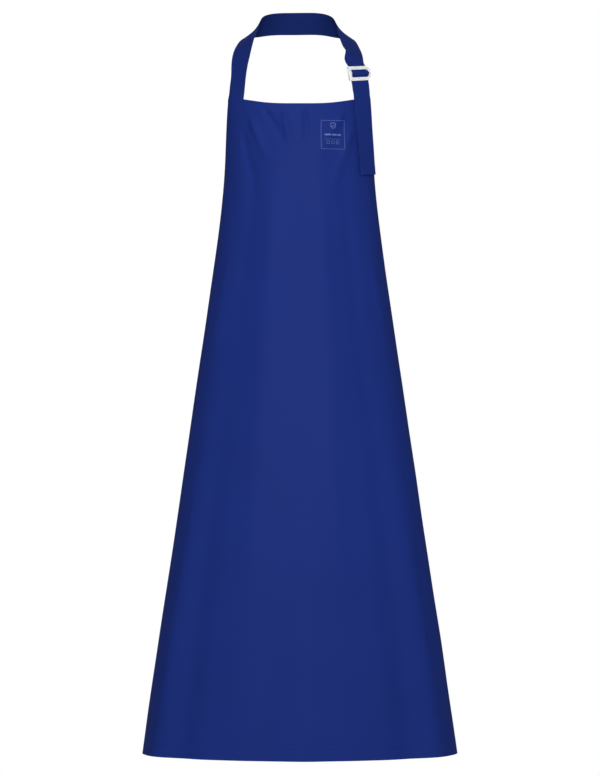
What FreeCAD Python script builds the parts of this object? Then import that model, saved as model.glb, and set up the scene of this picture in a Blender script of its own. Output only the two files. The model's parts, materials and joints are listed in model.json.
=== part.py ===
# Work apron of coated fabric with a bib, an adjustable neck strap and a bow-tied waist,
# shaped as it hangs on a wearer.
# Millimetres. Origin: the point of the neck strap's inner face that rests on the nape.
# +Z is up, -Y is the front of the apron and +X is towards the wearer's left, so "left" and
# "right" in the names are the wearer's.
import FreeCAD, Part
import math
import os
from functools import lru_cache

V = FreeCAD.Vector

# ---------------------------------------------------------------- driving dimensions
# Panel
BODY_LENGTH = 1200.0        # top edge to hem along the centre line
BIB_HALF_WIDTH = 152.0      # half of the cut's width at the top edge
HEM_HALF_WIDTH = 450.0      # half of the cut's width at the hem
PANEL_THICK = 1.0           # coated fabric, thicker than the real 0.5
BIB_TOP_Z = -169.0          # top edge on the centre line
HEM_Z = BIB_TOP_Z - BODY_LENGTH
BODY_AXIS_Y = -89.0         # vertical axis of the wearer's body
CORNER_RISE = 11.0          # how far the straps pull the top edge up beside them
CORNER_DROP = 4.0           # and how far it falls again to the outer corner
STRAP_POINT = 0.85          # where across the half width that rise is reached
# Hems, folded behind the panel
HEM_THICK = 0.8
SIDE_HEM = 20.0
TOP_HEM = 30.0
BOTTOM_HEM = 25.0
LAYER_GAP = 0.3             # between two welded layers
# Neck strap
STRAP_WIDTH = 42.0
STRAP_THICK = 0.9
STRAP_INSET = 24.5          # from the bib's side edge to the middle of a strap end
WELD_LENGTH = 32.0          # how far a strap end runs down the front of the bib
PIECE_GAP = 0.3             # between two pieces of one strap
TIP_LENGTH = 16.0           # folded stop at the strap's free end
TIP_THICK = 2.0
# Buckle, in its own frame: X across the strap, Y inwards, Z up the strap
BUCKLE_WIDTH = 54.5
BUCKLE_HEIGHT = 27.0
BUCKLE_THICK = 3.6
WINDOW_WIDTH = 43.2
WINDOW_HEIGHT = 14.0
END_THICK = 6.2             # the square end is thicker than the bars
CENTRE_BAR_R = 1.6
LOOP_INNER_R = 1.75         # the tab's loop round the centre bar
BIGHT_R = 3.25              # middle of the strap where it crosses the loop
BUCKLE_CENTRE = V(111.0, -164.7, -111.0)
BUCKLE_YAW = 42.0           # how far its face looks to the side
BUCKLE_ROLL = 6.0           # how far its upper edge leans to the middle
BUCKLE_PITCH = 8.0          # how far its upper edge leans back
# Waist ties
WAIST_DROP = 430.0          # below the top edge
TIE_WIDTH = 25.0
TIE_THICK = 1.2
TIE_OVERLAP = 30.0          # welded length on the panel
KNOT = V(0, 40.0, -601.0)
KNOT_SIZE = (26.0, 17.0, 31.0)
GATHERED_WIDTH = 14.0       # of a tie where it enters the knot
LOOP_LENGTH = 104.0
LOOP_DROOP = 24.0           # degrees below the horizontal
TAIL_LENGTH = 225.0
TAIL_GAP = 3.0              # lets a tail swing clear of the knot
# Label on the bib
LABEL_CENTRE = (61.5, 57.0) # from the centre line, below the top edge
LABEL_SIZE = (44.0, 52.0)
LABEL_THICK = 0.3

PARTS = "parts"
EPS = 1e-3


# ---------------------------------------------------------------- panel surface
def ramp(x, soft):
    """A smooth max(x, 0)."""
    return soft * math.log1p(math.exp(min(x / soft, 50.0)))


def section(drop):
    """The panel's level section this far below the top edge: an ellipse's half width and
    half depth, the ellipse's centre in Y, and half of the cut's width."""
    share = drop / BODY_LENGTH
    half_width = 135.5 + 0.1462 * ramp(drop - 132.0, 40.0)
    half_depth = 75.0 + 50.0 * (1 - math.exp(-2.2 * share)) / (1 - math.exp(-2.2))
    front = BODY_AXIS_Y - 110.0 - 15.0 * share
    cut = BIB_HALF_WIDTH + (HEM_HALF_WIDTH - BIB_HALF_WIDTH) * share
    return half_width, half_depth, front + half_depth, cut


@lru_cache(maxsize=None)
def quarter(half_width, half_depth, steps=240):
    """Lengths along a quarter of the ellipse, from its front, at equal steps of angle."""
    lengths, total = [0.0], 0.0
    for i in range(steps):
        angle = (i + 0.5) * math.pi / 2 / steps
        total += math.hypot(half_width * math.cos(angle), half_depth * math.sin(angle)) * math.pi / 2 / steps
        lengths.append(total)
    return lengths


def section_point(drop, along):
    """The point (x, y) of the level section at this signed length from the centre line.
    Past the widest point the cloth leaves the ellipse and runs nearly straight back."""
    a, b, centre, _ = section(round(drop, 3))
    lengths = quarter(round(a, 4), round(b, 4))
    side, along = (-1 if along < 0 else 1), abs(along)
    if along <= lengths[-1]:
        low, high = 0, len(lengths) - 1
        while high - low > 1:
            middle = (low + high) // 2
            low, high = (middle, high) if lengths[middle] <= along else (low, middle)
        share = (along - lengths[low]) / (lengths[high] - lengths[low])
        angle = (low + share) * math.pi / 2 / (len(lengths) - 1)
        return side * a * math.sin(angle), centre - b * math.cos(angle)
    rest, reach = along - lengths[-1], 20.0
    bend = a / b ** 2 * reach
    x, y, steps = a, centre, 12
    for i in range(steps):
        turn = bend * (1 - math.exp(-(i + 0.5) * rest / steps / reach))
        x -= math.sin(turn) * rest / steps
        y += math.cos(turn) * rest / steps
    return side * x, y


def top_z(u):
    """Height of the top edge, u from -1 to 1 across the cut."""
    t = abs(u)
    rise = CORNER_RISE * (1 - math.cos(math.pi * min(t / STRAP_POINT, 1.0) ** 1.6)) / 2
    drop = CORNER_DROP * (max(t - STRAP_POINT, 0.0) / (1 - STRAP_POINT)) ** 2
    return BIB_TOP_Z + rise - drop


def on_panel(u, z, behind=0.0):
    """A point of the panel's front face, or this far behind it, u from -1 to 1."""
    def place(u, z):
        drop = BIB_TOP_Z - z
        x, y = section_point(drop, u * section(drop)[3])
        return V(x, y, z)
    point = place(u, z)
    if not behind:
        return point
    du = place(u + EPS, z) - place(u - EPS, z)
    dz = place(u, z + 1) - place(u, z - 1)
    return point - dz.cross(du).normalize() * -behind


def cut_half(z):
    return section(BIB_TOP_Z - z)[3]


# ---------------------------------------------------------------- solids from points
def surface(grid):
    """A smooth face through a grid of points."""
    spline = Part.BSplineSurface()
    spline.interpolate(grid)
    return spline


def thick_sheet(front, back):
    """A closed solid between two grids of points of the same size."""
    near, far = surface(front), surface(back)
    faces = [near.toShape(), far.toShape()]
    for pick in (lambda s: s.uIso(s.bounds()[0]), lambda s: s.uIso(s.bounds()[1]),
                 lambda s: s.vIso(s.bounds()[2]), lambda s: s.vIso(s.bounds()[3])):
        faces.append(Part.makeRuledSurface(pick(near).toShape(), pick(far).toShape()))
    shell = Part.Shell(faces)
    shell.sewShape()
    solid = Part.Solid(shell)
    if solid.Volume < 0:
        solid.reverse()
    if not solid.isValid():
        solid.fix(1e-4, 1e-5, 1e-3)
    return solid


def spread(low, high, count):
    return [low + (high - low) * i / (count - 1) for i in range(count)]


def panel_layer(u_range, z_range, front, thick, columns, rows):
    """A layer that follows the panel. u_range and z_range give (low, high) for each row
    position from 0 at the top to 1 at the bottom, or for each column position."""
    grids = []
    for behind in (front, front + thick):
        grid = []
        for i in spread(0.0, 1.0, columns):
            line = []
            for j in spread(0.0, 1.0, rows):
                u_low, u_high = u_range(j)
                u = u_low + (u_high - u_low) * i
                z_high, z_low = z_range(u)
                line.append(on_panel(u, z_high + (z_low - z_high) * j, behind))
            grid.append(line)
        grids.append(grid)
    return thick_sheet(*grids)


GUIDE = 20.0                # length of the pointers that steer a strap's outer face


def smooth_curve(points):
    curve = Part.BSplineCurve()
    curve.interpolate(points)
    return curve


def ribbon_frames(stations, count, first=0, last=-1, trim=(0.0, 0.0)):
    """(centre, direction across, direction of the outer face) at count places between two of
    the stations, which are (centre, outer face). trim shortens the first and the last end."""
    centres = smooth_curve([s[0] for s in stations])
    knots = [centres.parameter(s[0]) for s in stations]
    guide = Part.BSplineCurve()
    guide.interpolate(Points=[s[0] + s[1] * GUIDE for s in stations], Parameters=knots)
    start = centres.parameterAtDistance(trim[0], knots[first])
    end = centres.parameterAtDistance(-trim[1], knots[last])
    frames = []
    for t in spread(start, end, count):
        along = centres.tangent(t)[0]
        across = along.cross(guide.value(t) - centres.value(t)).normalize()
        frames.append((centres.value(t), across, across.cross(along).normalize()))
    return frames


def ribbon(frames, width, thick, widths=None):
    """A strap through frames of (centre, across, outer face); widths gives each frame its own."""
    grids = []
    for side in (0.5, -0.5):
        grid = []
        for (centre, across, face), wide in zip(frames, widths or [width] * len(frames)):
            middle = centre + face * (side * thick)
            grid.append([middle + across * (k * wide) for k in (-0.5, -0.17, 0.17, 0.5)])
        grids.append(grid)
    return thick_sheet(*grids)


def gathered(count, width, narrow, share):
    """Widths of a ribbon that is gathered at both ends over this share of its length."""
    widths = []
    for t in spread(0.0, 1.0, count):
        x = min(min(t, 1 - t) / share, 1.0)
        widths.append(narrow + (width - narrow) * x * x * (3 - 2 * x))
    return widths


# ---------------------------------------------------------------- panel, hems, label
def apron_panel():
    return panel_layer(lambda j: (-1.0, 1.0), lambda u: (top_z(u), HEM_Z), 0.0, PANEL_THICK, 45, 41)


BEHIND_PANEL = PANEL_THICK + LAYER_GAP
BEHIND_HEM = BEHIND_PANEL + HEM_THICK + LAYER_GAP
IN_FRONT = -LAYER_GAP - STRAP_THICK


def side_hem(side):
    def u_range(j):
        z = HEM_Z + (1 - j) * BODY_LENGTH
        inner = 1 - SIDE_HEM / cut_half(z)
        return (inner, 1.0) if side > 0 else (-1.0, -inner)
    return panel_layer(u_range, lambda u: (top_z(u) - 1, HEM_Z + 1), BEHIND_PANEL, HEM_THICK, 4, 41)


def top_hem():
    inner = 1 - (SIDE_HEM + 1) / cut_half(BIB_TOP_Z)
    return panel_layer(lambda j: (-inner, inner), lambda u: (top_z(u) - 1, top_z(u) - TOP_HEM),
                       BEHIND_PANEL, HEM_THICK, 25, 4)


def bottom_hem():
    inner = 1 - (SIDE_HEM + 2) / cut_half(HEM_Z)
    return panel_layer(lambda j: (-inner, inner), lambda u: (HEM_Z + BOTTOM_HEM, HEM_Z + 1),
                       BEHIND_PANEL, HEM_THICK, 45, 4)


def strap_end(side):
    """The welded end of a neck strap, on the front of the bib."""
    centre, half = strap_u(side), STRAP_WIDTH / 2 / BIB_HALF_WIDTH
    top = top_z(centre)
    return panel_layer(lambda j: (centre - half, centre + half),
                       lambda u: (top + 0.5, top - WELD_LENGTH), IN_FRONT, STRAP_THICK, 7, 5)


def strap_u(side):
    """Where across the bib the middle of a neck strap's end is."""
    return side * (1 - STRAP_INSET / BIB_HALF_WIDTH)


def label():
    along, drop = LABEL_CENTRE
    z = BIB_TOP_Z - drop
    u, half = along / cut_half(z), LABEL_SIZE[0] / 2 / cut_half(z)
    return panel_layer(lambda j: (u - half, u + half),
                       lambda u: (z + LABEL_SIZE[1] / 2, z - LABEL_SIZE[1] / 2),
                       -0.05 - LABEL_THICK, LABEL_THICK, 5, 5)


# ---------------------------------------------------------------- neck strap
def buckle_placement():
    turn = FreeCAD.Rotation(V(0, 0, 1), BUCKLE_YAW)
    lean = FreeCAD.Rotation(V(1, 0, 0), -BUCKLE_PITCH)
    roll = FreeCAD.Rotation(V(0, 1, 0), -BUCKLE_ROLL)
    return FreeCAD.Placement(BUCKLE_CENTRE, turn.multiply(lean).multiply(roll))


def buckle_place(shape):
    """Puts a shape made in the buckle's own frame where the buckle is."""
    shape = shape.copy()
    shape.Placement = buckle_placement()
    return shape


def in_buckle(y, z):
    return buckle_placement().multVec(V(0, y, z))


def buckle_direction(y, z):
    return buckle_placement().Rotation.multVec(V(0, y, z))


# Middle of the threaded strap in the buckle's frame, (y, z) from its lower end, behind the
# lower bar, over the tab's loop on the centre bar, to its upper end behind the upper bar.
BIGHT = [(2.5, -15.5), (2.5, -12.5), (2.65, -9.5), (2.5, -6.9), (1.2, -5.0), (-0.9, -3.7), (-2.6, -2.1),
         (-BIGHT_R, 0.0), (-2.6, 2.1), (-0.9, 3.7), (1.2, 5.0), (2.5, 6.9), (2.65, 9.5), (3.4, 12.6), (5.4, 15.4)]

# Middle of the strap and the way its outer face looks, from the weld on the bib's right
# corner over the shoulder and the nape to the buckle.
RIGHT_WELD_TOP = V(-117.5, -163.0, -156.6)
SHOULDER_RIGHT = 5
SHOULDER_LEFT = 13
NECK_STRAP = [
    (RIGHT_WELD_TOP, V(-0.68, -0.73, 0.08)),
    (V(-116.0, -159.5, -135), V(-0.70, -0.70, 0.14)),
    (V(-112.0, -152.0, -110), V(-0.70, -0.66, 0.26)),
    (V(-108.5, -137.0, -85), V(-0.68, -0.61, 0.40)),
    (V(-103.0, -115.0, -61), V(-0.70, -0.50, 0.52)),
    (V(-95.5, -89.0, -41), V(-0.76, -0.26, 0.60)),
    (V(-87.0, -64.0, -24), V(-0.82, 0.02, 0.58)),
    (V(-72.0, -33.0, -9), V(-0.74, 0.45, 0.50)),
    (V(-46.0, -9.5, -2), V(-0.42, 0.86, 0.30)),
    (V(-3.0, 0.45, 0), V(0.0, 0.98, 0.20)),
    (V(41.0, -9.5, -2), V(0.42, 0.86, 0.30)),
    (V(66.0, -33.0, -11), V(0.74, 0.45, 0.50)),
    (V(79.5, -63.0, -25), V(0.82, 0.02, 0.58)),
    (V(87.5, -88.0, -41), V(0.76, -0.26, 0.60)),
    (V(91.8, -108.5, -53), V(0.70, -0.42, 0.57)),
    (V(95.4, -127.0, -65), V(0.68, -0.54, 0.50)),
    (V(98.0, -141.0, -75.5), V(0.66, -0.62, 0.43)),
]


BIGHT_GAP = 0.9             # left at the threaded piece, where the strap bends sharply


def neck_path():
    end, before = BIGHT[-1], BIGHT[-2]
    step = V(0, end[0] - before[0], end[1] - before[1]).normalize()
    out = buckle_direction(-step.z, step.y)
    straight = [(in_buckle(end[0] + s * step.y, end[1] + s * step.z), out) for s in (6.0, 4.0, 2.0, 0.0)]
    return NECK_STRAP + straight


def neck_piece(count, first, last, end_gap=PIECE_GAP / 2):
    """One piece of the neck strap, a little short at both ends."""
    trim = (PIECE_GAP / 2, end_gap)
    return ribbon(ribbon_frames(neck_path(), count, first, last, trim), STRAP_WIDTH, STRAP_THICK)


def neck_strap_bight():
    """The strap where it is threaded through the buckle, built in the buckle's frame."""
    curve = smooth_curve([V(0, y, z) for y, z in BIGHT])
    grids = []
    for side in (0.5, -0.5):
        grid = []
        for t in spread(curve.FirstParameter, curve.LastParameter, 57):
            along = curve.tangent(t)[0]
            centre = curve.value(t) + V(0, -along.z, along.y) * (side * STRAP_THICK)
            grid.append([centre + V(k * STRAP_WIDTH, 0, 0) for k in (-0.5, -0.17, 0.17, 0.5)])
        grids.append(grid)
    return buckle_place(thick_sheet(*grids))


def clear_of_panel(x, z, yaw, gap):
    """A point at x whose upright plane, facing yaw degrees from the front, clears the panel's
    section at this height by gap. Returns it with the plane's normal."""
    a, b, centre, _ = section(BIB_TOP_Z - z)
    nx, ny = math.sin(math.radians(yaw)), -math.cos(math.radians(yaw))
    reach = ny * centre + math.hypot(a * nx, b * ny) + gap
    return V(x, (reach - nx * x) / ny, z), V(nx, ny, 0)


# Middle of the hanging tail from the panel, and (x, z, degrees its face is turned from the
# front, extra distance from the panel) down the tail
TAIL_CLEAR = 3.2
TAIL = [(115.2, -160, 43.0, 0.0), (117.6, -187, 44.5, 0.0), (120.6, -220, 46.5, 0.2), (123.4, -253, 48.0, 0.6),
        (125.6, -281, 49.0, 1.0), (126.3, -289, 49.0, 1.1), (126.9, -281 - TIP_LENGTH, 49.0, 1.2)]
TIP_JOIN = 6                # station where the welded stop begins


def tail_path():
    """The strap's free end, from the buckle down the front of the bib."""
    out = buckle_direction(-1, 0)
    path = [(in_buckle(BIGHT[0][0], BIGHT[0][1]), out), (in_buckle(BIGHT[0][0] - 0.1, BIGHT[0][1] - 3), out)]
    return path + [clear_of_panel(x, z, yaw, TAIL_CLEAR + extra) for x, z, yaw, extra in TAIL]


def neck_strap_tail():
    trim = (BIGHT_GAP, PIECE_GAP / 2)
    return ribbon(ribbon_frames(tail_path(), 33, 0, TIP_JOIN, trim), STRAP_WIDTH, STRAP_THICK)


def neck_strap_tip():
    """The strap's end, folded over and welded so that it can't pull through the buckle."""
    trim = (PIECE_GAP / 2, 0.0)
    return ribbon(ribbon_frames(tail_path(), 7, TIP_JOIN, -1, trim), STRAP_WIDTH, TIP_THICK)


# ---------------------------------------------------------------- buckle and its tab
def outline(width, height, left_radius, right_radius, y):
    """A closed rectangle with its left and its right corners rounded."""
    edges, last = [], None
    half_width, half_height = width / 2, height / 2
    for sx, sz, r in ((-1, -1, left_radius), (1, -1, right_radius), (1, 1, right_radius), (-1, 1, left_radius)):
        centre = V(sx * (half_width - r), y, sz * (half_height - r))
        ends = [centre + V(0, 0, sz * r), centre + V(sx * r, 0, 0)]
        if sx * sz > 0:
            ends.reverse()
        middle = centre + V(sx * r, 0, sz * r) * math.sqrt(0.5)
        if last is not None and last.distanceToPoint(ends[0]) > EPS:
            edges.append(Part.LineSegment(last, ends[0]).toShape())
        edges.append(Part.Arc(ends[0], middle, ends[1]).toShape())
        last = ends[1]
    first = edges[0].Vertexes[0].Point
    edges.append(Part.LineSegment(last, first).toShape())
    return Part.Wire(edges)


def outline_solid(width, height, left_radius, right_radius, thick, y):
    return Part.Face(outline(width, height, left_radius, right_radius, y)).extrude(V(0, thick, 0))


def buckle_frame():
    """Moulded slide: two outer bars, a centre bar, a square end and a round end."""
    front = -BUCKLE_THICK / 2
    body = outline_solid(BUCKLE_WIDTH, BUCKLE_HEIGHT, 2.5, BUCKLE_HEIGHT / 2 - 0.5, BUCKLE_THICK, front)
    end_width = (BUCKLE_WIDTH - WINDOW_WIDTH) / 2
    end = Part.makeBox(end_width, END_THICK, BUCKLE_HEIGHT - 5, V(-BUCKLE_WIDTH / 2, front, -BUCKLE_HEIGHT / 2 + 2.5))
    window = outline_solid(WINDOW_WIDTH, WINDOW_HEIGHT, 0.6, 1.5, END_THICK + 4, front - 2)
    body = soften(body.fuse(end).cut(window).removeSplitter())
    bar = Part.makeCylinder(CENTRE_BAR_R, WINDOW_WIDTH + 3, V(-WINDOW_WIDTH / 2 - 1.5, 0, 0), V(1, 0, 0))
    return buckle_place(body.fuse(bar).removeSplitter())


def soften(body):
    """Rounds the edges that bound the front and back faces, as far as the shape allows."""
    flat = (-BUCKLE_THICK / 2, BUCKLE_THICK / 2, -BUCKLE_THICK / 2 + END_THICK)
    edges = [e for e in body.Edges if any(all(abs(v.Y - y) < EPS for v in e.Vertexes) for y in flat)]
    for radius in (0.9, 0.7, 0.45):
        try:
            rounded = body.makeFillet(radius, edges)
        except Part.OCCError:
            continue
        if rounded.isValid() and rounded.Volume > 0:
            return rounded
    return body


TAB_FRONT = 3.2             # face of the doubled tab behind the buckle
TAB_THICK = 1.3
TAB_END = 44.7              # it meets the bib this far below the centre bar


def buckle_tab_loop():
    """The tab above the bib: doubled, with its loop round the buckle's centre bar."""
    ring = Part.makeCylinder(LOOP_INNER_R + STRAP_THICK, STRAP_WIDTH, V(-STRAP_WIDTH / 2, 0, 0), V(1, 0, 0))
    back = TAB_FRONT + TAB_THICK
    corners = [(1.9, -1.2), (2.55, 0.4), (back, -5.5), (back, -TAB_END), (TAB_FRONT, -TAB_END), (TAB_FRONT, -5.0)]
    wire = Part.makePolygon([V(-STRAP_WIDTH / 2, y, z) for y, z in corners + corners[:1]])
    tab = ring.fuse(Part.Face(wire).extrude(V(STRAP_WIDTH, 0, 0)))
    hole = Part.makeCylinder(LOOP_INNER_R, STRAP_WIDTH + 2, V(-STRAP_WIDTH / 2 - 1, 0, 0), V(1, 0, 0))
    return buckle_place(tab.cut(hole).removeSplitter())


# ---------------------------------------------------------------- waist ties
WAIST_Z = BIB_TOP_Z - WAIST_DROP


def tie_run(side):
    """From the weld behind the panel's side edge round the wearer's back to the knot."""
    behind = BEHIND_HEM + TIE_THICK / 2
    cut = cut_half(WAIST_Z)
    path = []
    for back in (TIE_OVERLAP, TIE_OVERLAP * 2 / 3, TIE_OVERLAP / 3, 1.0):
        point = on_panel(1 - back / cut, WAIST_Z, behind)
        path.append((point, (on_panel(1 - back / cut, WAIST_Z) - point).normalize()))
    straight = (path[-1][0] - path[-2][0]).normalize()
    path.append((path[-1][0] + straight * 12, path[-1][1]))
    for x, y, nx, ny in ((159, -33, 0.92, 0.39), (133, 1, 0.72, 0.69), (90, 25, 0.42, 0.91), (44, 35.5, 0.18, 0.98)):
        path.append((V(x, y, WAIST_Z - 1), V(nx, ny, 0)))
    path.append((V(KNOT_SIZE[0] / 2 + 0.6, 37.5, KNOT.z), V(0.03, 1, 0)))
    return [(V(side * p.x, p.y, p.z), V(side * n.x, n.y, n.z)) for p, n in path]


def waist_tie(side):
    widths = [TIE_WIDTH] * 30 + gathered(61, TIE_WIDTH, GATHERED_WIDTH, 0.3)[30:]
    return ribbon(ribbon_frames(tie_run(side), 61), TIE_WIDTH, TIE_THICK, widths)


def tie_knot():
    """The knot as a rounded block."""
    x, y, z = KNOT_SIZE
    block = Part.makeBox(x, y, z, KNOT - V(x / 2, y / 2, z / 2))
    return block.makeFillet(5.0, block.Edges)


# Middle of a bow loop in its own plane: share of its length, and how far behind the knot's middle
BOW = [(0.0, -0.6), (0.25, 0.2), (0.6, 0.6), (0.88, 2.4), (1.0, 9.5), (0.88, 17.5), (0.6, 20.0), (0.25, 14.0), (0.0, 4.4)]


def bow_loop(side):
    """One loop of the bow: out from the knot, round a soft end and back, as one ribbon."""
    droop = math.radians(LOOP_DROOP)
    out = V(side * math.cos(droop), 0, -math.sin(droop))
    up = V(side * math.sin(droop), 0, math.cos(droop))
    start = KNOT_SIZE[0] / 2 + 4.0
    places = [KNOT + V(0, y, 0) + out * (start + share * LOOP_LENGTH) for share, y in BOW]
    curve = smooth_curve(places)
    frames = []
    for t in spread(curve.FirstParameter, curve.LastParameter, 61):
        along = curve.tangent(t)[0]
        frames.append((curve.value(t), up, up.cross(along).normalize()))
    return ribbon(frames, TIE_WIDTH, TIE_THICK, gathered(61, TIE_WIDTH, GATHERED_WIDTH, 0.16))


def tie_tail(side):
    """A free end that hangs from the knot; the left one hangs behind the right one."""
    top = KNOT.z - KNOT_SIZE[2] / 2 - TAIL_GAP
    y = KNOT.y - 5.0 + 2.0 * side
    path = []
    for x, back, share in ((9.5, 0.0, 0.0), (9.0, 0.2, 0.1), (9.0, 0.4, 0.4), (10.0, 0.2, 0.75), (11.0, 0.0, 1.0)):
        path.append((V(side * x, y + back, top - share * TAIL_LENGTH), V(0, 1, 0)))
    count = 31
    widths = gathered(2 * count, TIE_WIDTH, GATHERED_WIDTH * 0.7, 0.08)[:count]
    return ribbon(ribbon_frames(path, count), TIE_WIDTH, TIE_THICK, widths)


# ---------------------------------------------------------------- everything, one file per node
def nodes():
    made = {
        "apron_panel": apron_panel(),
        "hem_top": top_hem(),
        "hem_bottom": bottom_hem(),
        "label": label(),
        "neck_strap_nape": neck_piece(73, SHOULDER_RIGHT, SHOULDER_LEFT),
        "neck_strap_riser_right": neck_piece(33, 0, SHOULDER_RIGHT),
        "neck_strap_riser_left": neck_piece(33, SHOULDER_LEFT, -1, BIGHT_GAP),
        "neck_strap_anchor": strap_end(-1),
        "neck_strap_bight": neck_strap_bight(),
        "neck_strap_tail": neck_strap_tail(),
        "neck_strap_tip": neck_strap_tip(),
        "buckle_frame": buckle_frame(),
        "buckle_tab_loop": buckle_tab_loop(),
        "buckle_tab_anchor": strap_end(1),
        "tie_knot": tie_knot(),
    }
    for side, name in ((1, "left"), (-1, "right")):
        made["hem_" + name] = side_hem(side)
        made["waist_tie_" + name] = waist_tie(side)
        made["bow_loop_" + name] = bow_loop(side)
        made["tie_tail_" + name] = tie_tail(side)
    return made


def main():
    os.makedirs(PARTS, exist_ok=True)
    for name, shape in sorted(nodes().items()):
        for solid in shape.Solids:
            if not solid.isValid() or solid.Volume <= 0:
                print("PROBLEM", name, solid.isValid(), solid.Volume)
        shape.exportStep(os.path.join(PARTS, name + ".step"))
        box = shape.BoundBox
        print(f"{name}: {len(shape.Solids)} solid(s), {shape.Volume / 1000:.2f} cm3, "
              f"x {box.XMin:.0f}..{box.XMax:.0f} y {box.YMin:.0f}..{box.YMax:.0f} z {box.ZMin:.0f}..{box.ZMax:.0f}")


if __name__ == "__main__":
    main()
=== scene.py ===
import json
import math

import bmesh
import bpy
import numpy as np
from mathutils import Matrix, Vector


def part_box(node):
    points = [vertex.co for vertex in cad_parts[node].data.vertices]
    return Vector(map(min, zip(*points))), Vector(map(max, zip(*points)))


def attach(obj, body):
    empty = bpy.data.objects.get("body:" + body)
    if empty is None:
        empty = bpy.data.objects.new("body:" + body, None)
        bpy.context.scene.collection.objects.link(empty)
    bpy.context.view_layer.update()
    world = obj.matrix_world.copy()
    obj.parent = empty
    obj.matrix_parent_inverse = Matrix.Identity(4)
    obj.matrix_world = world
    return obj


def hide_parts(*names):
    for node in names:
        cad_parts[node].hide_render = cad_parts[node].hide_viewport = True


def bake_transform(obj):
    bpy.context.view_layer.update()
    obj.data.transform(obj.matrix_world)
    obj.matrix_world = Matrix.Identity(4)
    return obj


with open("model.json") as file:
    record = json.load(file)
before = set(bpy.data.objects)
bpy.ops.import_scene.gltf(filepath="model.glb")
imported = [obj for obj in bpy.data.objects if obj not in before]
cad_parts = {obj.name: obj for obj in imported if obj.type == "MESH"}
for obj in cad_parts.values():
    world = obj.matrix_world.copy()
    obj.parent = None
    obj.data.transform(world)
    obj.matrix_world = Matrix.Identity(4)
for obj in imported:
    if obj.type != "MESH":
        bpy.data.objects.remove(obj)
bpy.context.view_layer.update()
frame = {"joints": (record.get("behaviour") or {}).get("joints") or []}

# The cut of the panel, laid flat, and the real thicknesses, in metres
TOP_HALF = 0.152
HEM_HALF = 0.450
LENGTH = 1.200
FABRIC = 0.0006
STRAP_WIDE = 0.042
STRAP_THICK = 0.0009
TAB_THICK = 0.0006
TIE_WIDE = 0.025
TIE_THICK = 0.0006
STRAP_INSET = 0.0245        # the strap's middle, in from the bib's side
WELD = 0.032                # length of the strap and the tab that is welded on the bib
WELD_OUT = 0.00055          # the welded strap's middle, in front of the cloth's face
COLUMNS = 13                # places across a strap

# The panel's top edge on the centre line, and the front of its face there
BOTTOM_HEM = 0.025
BIB_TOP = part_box("hem_bottom")[1].z - BOTTOM_HEM + LENGTH
FRONT_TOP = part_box("hem_top")[0].y - 0.0013

# The level section of the worn panel: half ellipses that widen from the bib to the hem
BIB_HALF = 0.1355
FLARE = 0.1462
FLARE_FROM = 0.132
FLARE_SOFT = 0.040
BIB_DEPTH = 0.075
DEPTH_GAIN = 0.050
DEPTH_RATE = 2.2
LEAN = 0.015

TILT = [j for j in frame["joints"] if j["name"] == "buckle_tilt"][0]
KNOT_LOW, KNOT_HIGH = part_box("tie_knot")


# ------------------------------------------------------------------ small helpers
def unit(v):
    return v / np.maximum(np.linalg.norm(v, axis=-1, keepdims=True), 1e-12)


def smooth(x):
    x = np.clip(x, 0.0, 1.0)
    return x * x * (3 - 2 * x)


def bump(x, centre, width):
    return np.exp(-(((x - centre) / width) ** 2))


def ramp(x, soft):
    return soft * np.log1p(np.exp(np.clip(x / soft, -50, 50)))


def natural_spline(knots, values, at):
    """A cubic through values at knots, with free ends, read at the places in at."""
    knots, values, at = np.asarray(knots), np.asarray(values), np.asarray(at)
    n, h = len(knots), np.diff(knots)
    rows = np.zeros((n, n))
    right = np.zeros((n, values.shape[1]))
    rows[0, 0] = rows[-1, -1] = 1.0
    slopes = np.diff(values, axis=0) / h[:, None]
    for i in range(1, n - 1):
        rows[i, i - 1:i + 2] = h[i - 1], 2 * (h[i - 1] + h[i]), h[i]
        right[i] = 6 * (slopes[i] - slopes[i - 1])
    second = np.linalg.solve(rows, right)
    i = np.clip(np.searchsorted(knots, at, side="right") - 1, 0, n - 2)
    a = ((knots[i + 1] - at) / h[i])[:, None]
    b = ((at - knots[i]) / h[i])[:, None]
    step = (h[i] ** 2)[:, None] / 6
    bent = (a ** 3 - a) * second[i] + (b ** 3 - b) * second[i + 1]
    return a * values[i] + b * values[i + 1] + bent * step


# ------------------------------------------------------------------ the panel's surface
def section(drop):
    """Half width and half depth of the level section, its centre in Y, and half of the cut."""
    share = drop / LENGTH
    a = BIB_HALF + FLARE * ramp(drop - FLARE_FROM, FLARE_SOFT)
    b = BIB_DEPTH + DEPTH_GAIN * (1 - np.exp(-DEPTH_RATE * share)) / (1 - math.exp(-DEPTH_RATE))
    front = FRONT_TOP - LEAN * share
    return a, b, front + b, TOP_HALF + (HEM_HALF - TOP_HALF) * share


STEPS = 120         # parts that a quarter of the section is measured in
BEYOND = 12         # parts of the stretch past the section's widest place
REACH = 0.020       # how far that stretch takes to straighten
NEAR = 0.0015       # to each side, where the plain panel's slope is read
CLOSE = 0.002       # to each side, where the folded cloth's slope is read


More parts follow.
